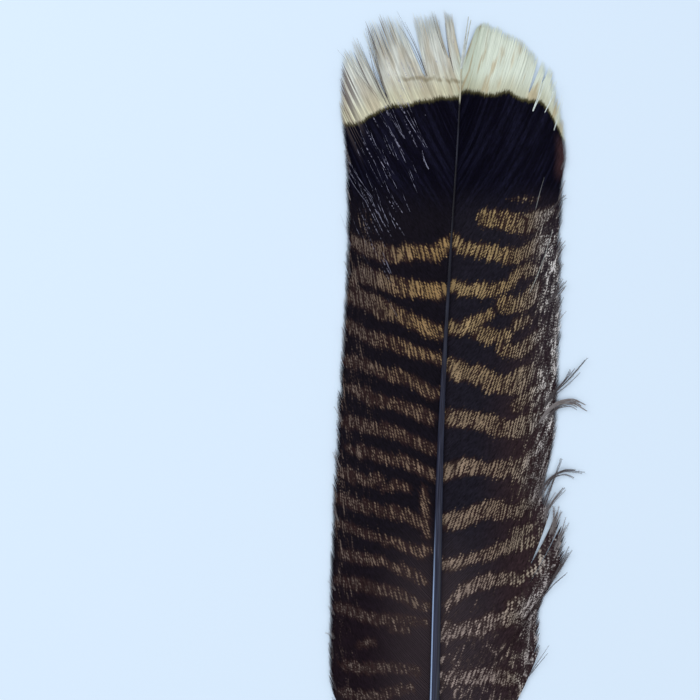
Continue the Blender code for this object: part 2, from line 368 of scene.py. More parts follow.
def map_strands(mesh, strands, points, banks):
    """Lays the strands' faces out in the map OFBake, with a place of its own for every face."""
    per_bank = -(-strands // banks)
    cell = 1 / per_bank
    number = np.arange(strands)
    left = (number % per_bank) * cell
    bank = number // per_bank
    along = np.linspace(0, 1, points)
    top_height, under_height, gap = 0.76 / banks, 0.2 / banks, 0.006
    top = bank[:, None] * top_height + along[None] * (top_height - gap)
    under = 0.78 + bank[:, None] * under_height + along[None] * (under_height - gap)
    columns = [(0.06, 0.5, top), (0.5, 0.94, top), (0.06, 0.5, under), (0.5, 0.94, under)]
    uv = np.empty((strands, points - 1, 4, 4, 2))
    for side, (start, stop, height) in enumerate(columns):
        for corner, (share, far) in enumerate([(start, 0), (stop, 0), (stop, 1), (start, 1)]):
            uv[:, :, side, corner, 0] = (left + share * cell)[:, None]
            uv[:, :, side, corner, 1] = height[:, far:points - 1 + far]
    square = np.array([(0, 0), (1, 0), (1, 1), (0, 1)]) * [cell * 0.4, 0.002]
    flat = [uv.reshape(-1, 2)]
    for shift in (0.05, 0.55):
        corner = np.stack([left + shift * cell, top[:, -1] + 0.002], axis=-1)
        flat.append((corner[:, None] + square[None]).reshape(-1, 2))
    layer = mesh.uv_layers.new(name="OFBake")
    layer.data.foreach_set("uv", np.concatenate(flat).astype(np.float32).ravel())


def lay_barbs(side, table, splits, fray, roots, downy, rng):
    """Paths of a vane's barbs, drawn together in clumps, and how loosely each one's tip lies."""
    first, looseness, shorter = fray[:3]
    count, t = len(roots), BARB_SHARES
    loose_tip = looseness * ease((roots - first) / ZONE)
    number, middle = clumps(roots, splits, rng)
    clump_count = number.max() + 1
    pull = rng.uniform(0, 0.07, clump_count)[number] * (1 + 1.6 * loose_tip)
    length = 1 + 0.006 * rng.normal(size=count) + 0.008 * rng.normal(size=clump_count)[number]
    length -= loose_tip * shorter * rng.random(count) ** 1.5
    length = np.minimum(length - downy * 0.03 * rng.random(count), 1.012)
    paths = np.empty((count, len(t), 3))
    for i, root in enumerate(roots):
        own = barb_points(side, table, splits, root, t * length[i])
        shared = barb_points(side, table, splits, middle[i], t * length[i])
        start = 0.62 - 0.3 * loose_tip[i]
        weight = (pull[i] * ease((t - start) / (1 - start)))[:, None]
        paths[i] = own * (1 - weight) + shared * weight
        limp = downy[i] * rng.normal() * t ** 2
        paths[i, :, 0] += 0.25 * limp
        paths[i, :, 1] -= 0.35 * limp
    # Height: the sheet's own lift, a slow swell, and clumps that lie over each other towards the edge.
    swell = wander(rng, count, 9)[:, None]
    over = rng.uniform(0, 1, clump_count)[number][:, None]
    outer = ease((t - 0.55) / 0.45)[None]
    paths[..., 2] += 0.22 + 0.16 * ease(t * 1.6)[None] * (1 + 0.5 * swell) + 0.35 * over * outer
    paths[..., 2] += (loose_tip * rng.uniform(0, 0.5, count))[:, None] * outer
    return paths, loose_tip


def strand_sizes(flat, fray, loose_tip, downy, rng):
    """Half widths and ridge heights of a vane's strands, wide enough to meet their neighbours."""
    thinned_least, thinned_most, thin_from = fray[3:]
    t, ahead, across = BARB_SHARES, directions(flat)[:-1], np.diff(flat, axis=0)
    gap = np.abs(ahead[..., 0] * across[..., 1] - ahead[..., 1] * across[..., 0])
    gap = np.concatenate([gap[:1], gap, gap[-1:]])
    wide, narrow = np.maximum(gap[:-1], gap[1:]), np.minimum(gap[:-1], gap[1:])
    half = np.clip(0.5 * OVERLAP * np.where(wide < OPEN_GAP, wide, narrow), NARROWEST, WIDEST)
    taper = np.clip((1 - t) / TIP_TAPER, 0, 1)[None] ** 0.8
    hairy = loose_tip * rng.uniform(thinned_least, thinned_most, len(flat))
    frayed = hairy[:, None] * ease((t - thin_from) / 0.22)[None]
    half = half * (0.12 + 0.88 * taper) * (1 - frayed) * (1 - 0.25 * downy[:, None])
    ridge = RIDGE * (0.3 + 0.7 * taper) * (1.25 - 0.5 * t[None]) * np.ones((len(flat), 1))
    return half, ridge


def marking_values(side, table, bars, cream_line, roots, downy, flat, rng):
    """The numbers from which the material draws the vane's markings."""
    count, points = flat.shape[:2]
    t, ahead, out, y = BARB_SHARES[None], directions(flat), flat[..., 0], flat[..., 1]
    shift = (0.45 * rng.normal(size=count) + 0.3 * wander(rng, count, 2))[:, None]
    jump = (0.16 * rng.normal(size=count) + 0.2 * wander(rng, count, 4))[:, None]
    # Left barbs: a painted glint on a short stretch of some, and a dark tip on some worn ones in the black
    # band.
    painted_glinting = (rng.random(count) < 0.3) * ease((roots - 40) / 30) * (side < 0)
    centre, reach = rng.uniform(0.4, 0.8, count)[:, None], rng.uniform(0.04, 0.11, count)[:, None]
    darkened = (rng.random(count) < 0.45) * ease((roots - 76) / 10) * ease((128 - roots) / 12) * (side < 0)
    return {
        "bar": depth_in_bars(bars, out + shift * ahead[..., 0], y + shift * ahead[..., 1]),
        "cream": y + jump - np.interp(out, *np.array(cream_line).T),
        "painted_glint": painted_glinting[:, None] * ease(1 - np.abs(t - centre) / reach),
        "downy": per_strand(downy, points),
        "dark": darkened[:, None] * ease((t - 0.72) / 0.2),
        "along": distances(flat),
        "row": per_strand(roots, points),
        "strand": per_strand(rng.random(count), points),
        "margin": outline_out(table, y) - out,
        "out": out,
    }


def make_vane(name, side, table, splits, fray, bars, cream_line, material, seed):
    """One vane: a strand for each barb, with the numbers that its markings are drawn from."""
    rng = np.random.default_rng(seed)
    roots = np.arange(table[0][0], table[-1][0], BARB_SPACING)
    roots = roots + rng.uniform(-ROOT_STRAY, ROOT_STRAY, len(roots))
    downy = ease((table[0][0] + ZONE - roots) / ZONE)
    paths, loose_tip = lay_barbs(side, table, splits, fray, roots, downy, rng)
    flat = paths[..., :2]
    half, ridge = strand_sizes(flat, fray, loose_tip, downy, rng)
    values = marking_values(side, table, bars, cream_line, roots, downy, flat, rng)
    return add_strands(name, beside_chord(side, paths), half, ridge, side * TILT, material, values)


# ---- materials

STROKE_SLANT = 1  # how fast a stroke crosses to the next barbs as it runs along them
STROKE_ACROSS = 0.34  # strokes per millimetre along the shaft, roughly
STROKE_ALONG = 0.24  # strokes per millimetre along a barb


def srgb(red, green, blue):
    """A display colour, 0 to 255, as the linear colour that a node takes."""
    linear = [c / 12.92 if c <= 0.04045 else ((c + 0.055) / 1.055) ** 2.4
              for c in (red / 255, green / 255, blue / 255)]
    return (*linear, 1)


class Value:
    """A number or colour that a material works out. Numbers are added and multiplied as plain ones are."""

    def __init__(self, tree, socket):
        self.tree = tree
        self.socket = socket

    def __add__(self, other):
        return self.tree.math("ADD", self, other)

    def __mul__(self, other):
        return self.tree.math("MULTIPLY", self, other)

    def __sub__(self, other):
        return self.tree.math("SUBTRACT", self, other)

    def __rsub__(self, other):
        return self.tree.math("SUBTRACT", other, self)

    def __abs__(self):
        return self.tree.math("ABSOLUTE", self)

    def step(self, low, high):
        """Smooth step from 0 at low to 1 at high."""
        return self.tree.node("MapRange", self, low, high, interpolation_type="SMOOTHSTEP")

    def centred(self, size):
        """Noise moved to run from about -size/2 to size/2."""
        return self * size - size / 2

    def between(self, a, b):
        """Number a where this one is 0, and b where it is 1."""
        return self * (b - a) + a


class Tree:
    """Short forms for building a material's nodes."""

    def __init__(self, name, specular, sheen=0):
        self.material = bpy.data.materials.new(name)
        self.material.use_nodes = True
        self.nodes = self.material.node_tree.nodes
        self.links = self.material.node_tree.links
        self.shader = self.nodes["Principled BSDF"]
        finish = {"Specular IOR Level": specular, "Sheen Weight": sheen, "Sheen Roughness": 0.4}
        for key, value in finish.items():
            self.shader.inputs[key].default_value = value

    def put(self, socket, value):
        """Links a value to a socket, or sets the socket to a plain number or a display colour."""
        if isinstance(value, Value):
            self.links.new(value.socket, socket)
        elif isinstance(value, tuple):
            socket.default_value = srgb(*value)[:len(socket.default_value)]
        else:
            socket.default_value = value

    def node(self, kind, *inputs, output=0, **settings):
        """What a new node gives, with its settings and first inputs filled in. None leaves an input alone."""
        node = self.nodes.new("ShaderNode" + kind)
        for key, setting in settings.items():
            setattr(node, key, setting)
        for socket, value in zip(node.inputs, inputs):
            if value is not None:
                self.put(socket, value)
        return Value(self, node.outputs[output])

    def number(self, name):
        """A number that the mesh carries."""
        return self.node("Attribute", output="Fac", attribute_name=name)

    def parts(self, vector):
        """The x, y and z of a vector."""
        node = self.nodes.new("ShaderNodeSeparateXYZ")
        self.put(node.inputs[0], vector)
        return [Value(self, part) for part in node.outputs]

    def place(self):
        """The x, y and z of a point on the object, in millimetres."""
        return [part * (1 / MM) for part in self.parts(self.node("TexCoord", output="Object"))]

    def math(self, operation, a, b=0):
        return self.node("Math", a, b, operation=operation)

    def noise(self, x, y, z=0, scale=1, detail=2):
        """Noise from 0 to 1 at a place, mostly between 0.3 and 0.7."""
        return self.node("TexNoise", self.node("CombineXYZ", x, y, z), None, scale, detail)

    def mix(self, factor, a, b):
        """Colour a where factor is 0, and b where it is 1."""
        before_colours = [None] * 5
        return self.node("Mix", factor, *before_colours, a, b, output=2, data_type="RGBA")

    def cover(self, colour, *layers):
        """A colour with others laid over it in turn, each as far as its factor says."""
        for factor, over in layers:
            colour = self.mix(factor, colour, over)
        return colour

    def shade(self, colour, amount):
        """A colour made darker or lighter by a number."""
        return self.node("VectorMath", colour, None, None, amount, operation="SCALE")

    def finish(self, colour, roughness, relief=None, depth=0, strength=0.5):
        """Gives the surface its colour, its roughness and a fine relief, and returns the material."""
        self.put(self.shader.inputs["Base Color"], colour)
        self.put(self.shader.inputs["Roughness"], roughness)
        if relief:
            node = self.nodes.new("ShaderNodeBump")
            self.put(node.inputs["Height"], relief)
            node.inputs["Strength"].default_value = strength
            node.inputs["Distance"].default_value = depth * MM
            self.links.new(node.outputs["Normal"], self.shader.inputs["Normal"])
        return self.material


class VaneTree(Tree):
    """The vane's material, with the numbers that its markings share."""

    def __init__(self):
        super().__init__("barbs", specular=0.035)
        self.bar, self.cream, self.along, self.row = map(self.number, ("bar", "cream", "along", "row"))
        self.strand, self.margin, self.out = map(self.number, ("strand", "margin", "out"))
        self.across = self.number("across")
        self.x, self.y, _ = self.place()
        self.right = self.x.step(-4, 1)
        self.left = 1 - self.right
        self.low = self.y.step(2, -46)
        edge = self.margin.step(22, 3) * self.y.step(123, 100)
        self.edge = edge * (self.right * 0.35 + 0.65)
        # Noise in the barbs' own terms: streak runs along one barb, patch over many.
        self.own = self.strand * 61
        self.streak = self.noise(self.own, self.along * 0.5, detail=3)
        self.patch = self.noise(self.row * 0.12, self.along * 0.12, 7)


def vane_strokes(vane):
    """The slanting strokes that the bars are made of: high in a stroke's middle, low between two.

    They are even near the middle of the vane, and break up into spots low down and along the right margin.
    """
    row, along, right = vane.row, vane.along, vane.right
    slanted = row - along * STROKE_SLANT
    spotted = vane.math("MAXIMUM", vane.low, vane.margin.step(13, 5) * right)
    blotch = vane.noise(slanted * (1.5 * STROKE_ACROSS), along * STROKE_ALONG, 3)
    spots = vane.noise(slanted * 0.62, along * 0.4, 17)
    grains = vane.noise(slanted, along * 0.6, 27)
    spots = vane.margin.step(18, 9).between(spots, grains)
    blotch = (spotted * 0.85).between(blotch, spots)
    drift = vane.noise(row * 0.2, along * 0.1, 11, detail=1)
    teeth = vane.math("SINE", (slanted * STROKE_ACROSS + drift * 2.4) * math.tau)
    regular = vane.out.step(1, 9).between(0.6, right.between(1.5, 1.9))
    return blotch.centred(12) + vane.streak.centred(1.6) + teeth * regular * (1 - spotted * 0.8)


def vane_ground(vane):
    """Black-brown, browner low down and towards the edge, reddish around the bars, black above them."""
    out, y, left, right, low = vane.out, vane.y, vane.left, vane.right, vane.low
    # Painted sheen: faint bluish streaks along the barbs of the black band.
    sheen = vane.noise(vane.row * 0.45, vane.along * 0.04, 2, detail=3)
    russet = vane.margin.step(4.5, 1) * right * y.step(120, 127) * y.step(140, 133)
    ground = vane.cover(
        (6, 5, 18),
        (sheen.step(0.42, 0.66), (18, 18, 35)),
        (russet, (64, 44, 47)),
        (y.step(122, 104), vane.mix(right, (19, 16, 24), (27, 25, 34))),
        (vane.math("MAXIMUM", vane.edge, low) * right, (41, 34, 40)),
        (out.step(10, 30) * right * y.step(84, 30), (44, 32, 36)),
        (low * left, (25, 17, 24)),
        (vane.bar.step(-1.8, 0.4), (41, 27, 28)),
    )
    ribs = abs(vane.across).step(0.7, 0.2) * y.step(10, -30) * out.step(26, 4)
    return vane.mix(ribs, vane.shade(ground, vane.streak * 2.4 - 0.2), (58, 50, 54))


def vane_level(vane, strokes):
    """How far inside a golden stroke a point lies. Bars are fuller by the shaft and broken at the edges."""
    left, right, y, bar = vane.left, vane.right, vane.y, vane.bar
    crown = vane.out.step(20, 4) * 0.9 - 0.1 - left * y.step(96, 20) * 0.35
    crown = vane.low.between(crown, 0.15)
    breaks = vane.noise(vane.row * 0.34, vane.along * 0.3, 33, detail=1)
    crown = crown + breaks.centred(5) * right.between(1, 0.4)
    inside = vane.math("MINIMUM", bar, 0) * 0.9 + vane.math("MINIMUM", bar, crown)
    inside = inside - left * y.step(78, 50) * 0.35
    # Stray strokes between the bars, along the vane's edge and low down.
    speckle = vane.math("MAXIMUM", vane.edge, vane.low * (right * 0.56 + 0.3))
    clots = vane.noise(vane.row * 0.3, vane.along * 0.2, 41, detail=1)
    stray = speckle * 5.1 - 5.6 - speckle.step(0.2, 0) * 4
    stray = stray + vane.patch.centred(5) + clots.centred(5.5)
    return vane.math("MAXIMUM", inside, stray) + strokes


def vane_golden(vane):
    """The strokes' gold, duller outwards, paler low down, and silvery along the right margin."""
    out, y, left, right, low, edge = vane.out, vane.y, vane.left, vane.right, vane.low, vane.edge
    golden = vane.cover(
        (146, 120, 82),
        (out.step(6, 32), (120, 104, 88)),
        (left * y.step(84, 30), (114, 96, 82)),
        (right, vane.mix(y.step(92, 10), (148, 127, 92), (132, 115, 100))),
        (low * left, (106, 93, 86)),
        (low * right, (148, 134, 129)),
        (edge * left, (104, 94, 90)),
        (right * out.step(18, 32), (142, 130, 116)),
        (edge * vane.margin.step(12, 3) * right,
         vane.mix(y.step(14, 44), (158, 152, 152), (204, 201, 201))),
    )
    return vane.shade(vane.shade(golden, vane.streak * 1.4 + 0.3), vane.patch + 0.5)


def vane_cream(vane):
    """The cream of the tip, stained here and there, greyer and more streaked on the left."""
    row, along, x, left, cream = vane.row, vane.along, vane.x, vane.left, vane.cream
    stain = vane.noise(row * 0.2, along * 0.06, 21, detail=3)
    fan = vane.cover(
        (198, 196, 172),
        (cream.step(2, 14), (204, 208, 202)),
        (stain.step(0.42, 0.62) * 0.6, (166, 155, 134)),
    )
    pale = vane.cover(
        (192, 194, 172),
        (cream.step(0, 9), (214, 223, 210)),
        (stain.step(0.52, 0.66) * 0.7, (184, 168, 134)),
        (left, fan),
    )
    grain = vane.noise(row * 1.5, along * 0.07, 9, detail=3)
    pale = vane.shade(pale, grain.centred(1) * left.between(0.5, 1.3) + 1)
    pale = vane.shade(pale, vane.strand * left.between(0.06, 0.16) + 0.95)
    # A faint brown line crosses the left half.
    crossing = abs(vane.y - 155.4 + vane.patch.centred(5)).step(1.2, 0.1)
    crossing = crossing * stain.step(0.36, 0.56) * x.step(-24, -20) * x.step(1.5, -0.5)
    return vane.mix(crossing * 0.6, pale, (122, 112, 84))


def vane_material():
    """Black-brown barbs with golden bars, a black band and a cream tip."""
    vane = VaneTree()
    along, across, streak = vane.along, vane.across, vane.streak
    strokes = vane_strokes(vane)
    level = vane_level(vane, strokes)
    golden = vane_golden(vane)
    fluff = vane.shade((112, 102, 98), vane.strand * 0.7 + 0.5)
    # The cream starts along an olive line.
    border = vane.cream + strokes.centred(0.12)
    line = vane.mix(border.step(-1.2, 0.3), (16, 15, 18), (70, 66, 44))
    dashes = vane.noise(vane.own, along * 1.1, 5).step(0.45, 0.62)
    # A stroke is golden in its middle and red-brown around it.
    colour = vane.cover(
        vane_ground(vane),
        (level.step(-1.5, 0.2), vane.mix(0.1, (40, 28, 30), golden)),
        (level.step(-0.2, 1.5), golden),
        (vane.number("downy") * 0.8 * vane.y.step(-58, -78), fluff),
        (border.step(-1.2, -0.2), vane.mix(border.step(0, 1.4), line, vane_cream(vane))),
        (vane.number("dark") * 0.8, (96, 86, 86)),
        # Painted glints: pale blue-grey dashes along the ridges of some left barbs.
        (vane.number("painted_glint") * dashes * abs(across).step(0.8, 0.2), (150, 150, 172)),
    )
    # Underneath the colours are duller and greyer.
    facing = vane.parts(vane.node("NewGeometry", output="Normal"))[2]
    colour = vane.mix(facing.step(-0.2, -0.5), colour, vane.mix(0.22, colour, (120, 112, 108)))
    # Barbules: a fine herringbone off the ridge.
    comb = vane.math("SINE", (abs(across) * 2.4 + along * 14) * math.pi)
    return vane.finish(colour, streak * 0.3 + 0.5, comb + streak * 2, 0.04)


def shaft_material():
    """Glossy horn: pale at the quill, dark slate along the rachis, with fine lengthwise lines and a painted
    highlight along its left flank.
    """
    tree = Tree("horn", specular=0.16)
    x, y, z = tree.place()
    beside = tree.number("beside")
    lines = tree.noise(x * 3.5, y * 0.02, z * 3.5, detail=3)
    cloud = tree.noise(x, y * 0.08, z, scale=0.6, detail=3)
    fine = tree.mix(cloud.step(0.45, 0.6), (8, 7, 17), (24, 26, 40))
    # A painted highlight: a pale blue-white line along the left flank of the shaft's lower part.
    painted_highlight_line = beside.step(-0.93, -0.84) * beside.step(-0.6, -0.72) * (y + lines.centred(40)).step(6, -26)
    olive = beside.step(0.3, 0.5) * beside.step(0.9, 0.7) * y.step(24, -30)
    rachis = tree.cover(
        (22, 23, 40),
        (lines.step(0.4, 0.65), (50, 54, 72)),
        (y.step(20, 110), fine),
        (painted_highlight_line * 0.9, (150, 172, 208)),
        (olive * 0.5, (52, 54, 54)),
        (y.step(146.5, 149.5), (172, 170, 150)),
    )
    quill = tree.mix(cloud, (196, 186, 164), (150, 138, 120))
    colour = tree.mix((y + cloud.centred(30)).step(-150, -95), quill, rachis)
    return tree.finish(colour, lines * 0.3 + 0.22, lines, 0.1)


def loose_material():
    """Frayed barbs, from dark brown-grey to near white, and dark ones with painted glints in dashes."""
    tree = Tree("loose", specular=0.05)
    pale, strand, along = map(tree.number, ("pale", "strand", "along"))
    fine = tree.noise(strand * 40, along * 0.6)
    dashes = tree.noise(strand * 70, along * 0.45, 5)
    colour = tree.cover(
        (46, 39, 45),
        (pale.step(0, 0.7), (116, 111, 112)),
        (pale.step(0.75, 1), (202, 212, 210)),
        # Painted glints: dark barbs that turn pale blue-grey in dashes.
        (pale.step(1.01, 1.04), tree.mix(dashes.step(0.4, 0.62), (30, 29, 44), (158, 160, 184))),
    )
    return tree.finish(tree.shade(colour, fine + 0.5), fine * 0.2 + 0.6, fine, 0.03, strength=0.3)


def down_material():
    """Soft grey-brown down, paler at its roots."""
    tree = Tree("down", specular=0.1, sheen=0.1)
    strand, along = tree.number("strand"), tree.number("along")
    fine = tree.noise(strand * 40, along * 0.3)
    colour = tree.mix(along.step(0, 14), (158, 150, 142), (104, 94, 90))
    return tree.finish(tree.shade(colour, fine * 0.9 + 0.55), fine * 0.2 + 0.75, fine, 0.05, strength=0.3)


# ---- the shaft

SHAFT_RINGS, SHAFT_SIDES = 260, 28
MAP_LENGTHS = 4  # lengths that the unrolled shaft is cut into, side by side in its map
# The pit in the quill's end: share of the quill's radius, and depth.
PIT = [(0.62, -0.15), (0.5, 0.3), (0.42, 1.6)]


def make_shaft(material):
    """Quill and rachis: a tapering tube with a groove underneath and a small pit in the quill's end."""
    stations = np.linspace(QUILL_END + 0.2, RACHIS_END + 1.2, SHAFT_RINGS)
    angle = np.linspace(0, math.tau, SHAFT_SIDES, endpoint=False)
    radius = shaft_radius(stations)
    radius[-1] *= 0.4
    down = np.exp(-np.cos(angle) ** 2 / 0.12) * (np.sin(angle) < 0)
    groove = 0.3 * ease((stations + 112) / 30) * ease((150 - stations) / 60)
    middle = np.stack([CHORD_X + shaft_bow(stations), stations, shaft_height(stations)], axis=-1)
    grid = np.repeat(middle[:, None], SHAFT_SIDES, axis=1)
    grid[..., 0] += radius[:, None] * np.cos(angle)
    grid[..., 2] += radius[:, None] * np.sin(angle) * (1 - groove[:, None] * down)
    for share, depth in PIT:
        ring = middle[0] + (grid[-SHAFT_RINGS] - middle[0]) * share
        ring[:, 1] = stations[0] + depth
        grid = np.concatenate([ring[None], grid])
    rows = len(grid) - 1
    index = np.arange((rows + 1) * SHAFT_SIDES).reshape(rows + 1, SHAFT_SIDES)
    turned = np.roll(index, -1, axis=1)
    quads = np.stack([index[:-1], index[1:], turned[1:], turned[:-1]], axis=-1).reshape(-1, 4)
    mesh = bpy.data.meshes.new("shaft_fine")
    faces = quads.tolist() + [index[0].tolist(), index[-1, ::-1].tolist()]
    mesh.from_pydata((grid.reshape(-1, 3) * MM).tolist(), [], faces)
    carry(mesh, "beside", np.tile(np.cos(angle), len(grid)))
    row, column = np.divmod(np.arange(rows * SHAFT_SIDES), SHAFT_SIDES)
    per_length = -(-rows // MAP_LENGTHS)
    wide, tall = 0.225 / SHAFT_SIDES, 0.97 / (per_length + 1)
    left, low = 0.01 + 0.245 * (row // per_length), (row % per_length) * tall
    corner = np.stack([left + column * wide, low], axis=-1)
    steps = np.array([(0, 0), (0, tall), (wide, tall), (wide, 0)])
    unrolled = (corner[:, None] + steps[None]).reshape(-1, 2)
    ring = 0.01 * np.stack([np.cos(angle), np.sin(angle)], axis=-1)
    flat = np.concatenate([unrolled, ring + (0.1, 0.985), ring[::-1] + (0.3, 0.985)])
    mesh.uv_layers.new(name="OFBake").data.foreach_set("uv", flat.astype(np.float32).ravel())
    mesh.shade_smooth()
    mesh.materials.append(material)
    return add_object("shaft_fine", mesh)


# ---- down and loose barbs

def hairs_along(path, rng, spacing, reach):
    """Fine barbules off both sides of a path, swept towards its tip: hairs of five points each."""
    steps = distances(path)
    s = np.linspace(0, 1, 5)[:, None]
    hairs = []
    for place in np.arange(0.04 * steps[-1], steps[-1], spacing):
        at, beyond = (np.array([np.interp(where, steps, path[:, k]) for k in range(3)])
                      for where in (place, place + 0.4))
        ahead = beyond - at
        if np.linalg.norm(ahead) < 0.05:
            break
        ahead = ahead / np.linalg.norm(ahead)
        length = rng.uniform(*reach) * (1 - 0.5 * place / steps[-1])
        for hand in (-1, 1):
            aside = np.array([-ahead[1], ahead[0], 0]) * hand
            lift = np.array([0, 0, rng.uniform(-0.25, 0.6)])
            curl = rng.uniform(-0.5, 0.5)
            bent = aside * (1 - 0.35 * s) + ahead * (0.45 + 0.5 * s + curl * s) + lift * s
            hairs.append(at + length * s * bent)
    return hairs


def add_hairs(name, paths, half, material, rng, **extra):
    """A mesh of fine strands that thin towards their tips. extra gives a number to each strand."""
    paths = np.array(paths)
    paths[..., 2] = np.clip(paths[..., 2], 0.25, None)
    strands, points = paths.shape[:2]
    share = np.linspace(0, 1, points)
    profile = np.minimum(0.35 + 2.6 * share, 1) * (1 - 0.7 * share)
    halves = np.array(half).reshape(-1, 1) * profile[None] * np.ones((strands, 1))
    values = {"along": distances(paths), "strand": per_strand(rng.random(strands), points)}
    for key, numbers in extra.items():
        values[key] = per_strand(numbers, points)
    return add_strands(name, paths, halves, halves * 0.8, 0, material, values, banks=8)


def make_down(name, side, table, material, seed):
    """One side's tuft of down: limp curved barbs, each with a fringe of long fine barbules."""
    rng = np.random.default_rng(seed)
    t = np.linspace(0, 1, 24)
    stems, fringe = [], []
    for root in np.arange(table[0][0], table[-1][0], 1.25):
        longer = 0.22 * ease((root - table[-1][0] + ZONE) / ZONE)
        path = barb_points(side, table, [], root, t * (rng.uniform(0.75, 1.02) + longer))
        path[:, 1] += rng.uniform(0.6, 1.6) * np.sin(t * rng.uniform(3, 6) + rng.uniform(0, 6)) * t
        path[:, 2] = path[:, 2] * 0.7 + 0.5 + 1.6 * rng.random() * t
        stems.append(path)
        fringe += hairs_along(path, rng, 0.42, (2, 3.6))
    return [add_hairs(name + "_stems", beside_chord(side, stems), 0.11, material, rng),
            add_hairs(name + "_fringe", beside_chord(side, fringe), 0.035, material, rng)]


# Barbs that have come away from the vane: side, how pale (over 1 for a dark one with painted glints), half
# width, length of its barbules, how many lie together, how far their tips spread, points out from the chord.
LOOSE = [
    (1, 0.2, 0.16, 0.9, 3, 1, (34, 111), (37, 114.5), (39.5, 117)),
    (1, 0.3, 0.18, 1, 4, 1.2, (35, 79), (38, 83.5), (41, 87.5)),
    (1, 0.3, 0.16, 0.9, 2, 1, (36.5, 75), (38.2, 78), (39.4, 82)),
    (1, 0.25, 0.24, 1, 4, 1.4, (35, 43), (37, 46.5), (42, 52), (48, 60)),
    (1, 0.25, 0.18, 0.8, 2, 0.8, (38, 48), (41.3, 52.5), (43.2, 57.5)),
    (1, 0.75, 0.5, 0.8, 5, 0.9, (33.5, 37), (36.5, 41.5), (40.5, 44.4), (44.5, 45), (50, 42.6)),
    (1, 0.3, 0.2, 0.8, 3, 1.2, (36, 39), (40, 43), (43.5, 44), (46.5, 42.6)),
    (1, 0.3, 0.26, 1, 4, 1, (34, 11), (36, 15.5), (39, 19), (43.5, 21), (51, 20.6)),
    (1, 0.3, 0.2, 0.8, 3, 1, (36, 13), (39.5, 18.4), (43.5, 19.6), (47, 18.6)),
    (1, 0.3, 0.18, 0.9, 3, 0.9, (36.5, 8), (38.2, 15), (39.6, 20), (41.3, 26.5)),
    (1, 0.45, 0.22, 1, 4, 1.2, (36.5, 5), (39, 10), (44, 17)),
    (1, 0.5, 0.18, 1, 3, 1.2, (36.4, 2), (38.3, 8), (41.5, 12)),
    (1, 0.7, 0.2, 1.2, 3, 0.9, (38.5, -2), (40.4, 2.5), (42.3, 8)),
    (1, 0.6, 0.2, 1.2, 3, 1, (40.5, -7), (43, -1), (44.6, 4)),
    (1, 0.7, 0.2, 1.2, 4, 1.2, (39.4, -1), (40.4, 4), (40.8, 9)),
    (1, 0.3, 0.24, 1.1, 4, 1.2, (40, -18), (43, -12.5), (46.3, -5.5)),
    (1, 0.2, 0.14, 0.5, 2, 0.6, (37, -24), (40.5, -19.5), (45, -15.2)),
    (1, 0.2, 0.14, 0.4, 2, 0.5, (33, -52), (36.5, -47), (41, -40.5)),
    (1, 0.9, 0.5, 0, 2, 0.6, (0.8, 159), (1.8, 167), (3.4, 179.5)),
    (1, 1, 0.2, 0, 3, 0.7, (26.4, 145.5), (28.2, 151), (30, 159)),
    (1, 1, 0.16, 0, 3, 0.8, (30.5, 145), (32.4, 150), (33.6, 157)),
    (1, 1, 0.14, 0, 2, 0.8, (34, 139), (35.4, 145), (36.4, 152)),
    (1, 0.9, 0.1, 0, 1, 0, (28, 82), (31, 90), (34, 100), (35.6, 107)),
    (1, 0.85, 0.08, 0, 1, 0, (28.8, 111), (30, 117), (31.6, 123.5)),
    (-1, 0.15, 0.09, 0, 5, 2.2, (23.5, 145), (28.5, 156), (33.6, 171)),
    (-1, 0.3, 0.08, 0, 3, 1.6, (22.5, 145), (27.5, 157), (31.5, 173)),
    (-1, 0.2, 0.09, 0, 4, 1.6, (11, 156), (16.5, 167), (23.5, 177)),
    (-1, 0.2, 0.09, 0, 2, 0.8, (1.6, 158), (4.2, 168), (5.6, 178)),
    (-1, 0.3, 0.07, 0, 3, 1.4, (4.6, 164), (6.6, 170), (8.6, 178.5)),
    (-1, 0.4, 0.08, 0, 5, 5, (26, 147), (32, 157), (37.5, 168)),
    (-1, 1.2, 0.08, 0, 3, 1.2, (10, 131), (14.5, 138.5), (19.5, 147.5)),
    (-1, 1.3, 0.1, 0, 2, 0.8, (9, 123.5), (11, 126.5), (12.4, 129.5)),
    (-1, 1.2, 0.07, 0, 3, 1.4, (18, 134), (21.5, 139.5), (25.5, 146)),
    (-1, 1.1, 0.07, 0, 2, 1, (19.5, 131), (23.5, 138), (27, 144)),
    (-1, 1.1, 0.07, 0, 3, 1.6, (28, 113), (33, 119.5), (39, 129)),
    (-1, 1.1, 0.07, 0, 3, 1.4, (30, 111), (33.5, 115.5), (36.5, 120.5)),
    (-1, 1.1, 0.06, 0, 2, 1.4, (25, 117), (28.5, 123), (32.2, 130)),
    (-1, 1.05, 0.06, 0, 2, 1, (35, 96), (37, 101.5), (40, 108)),
    (-1, 1.05, 0.06, 0, 2, 0.8, (20.5, 87), (22.4, 91), (24.3, 95)),
    (-1, 1.05, 0.06, 0, 1, 0.5, (21, 106), (22, 108), (23.2, 110.5)),
]


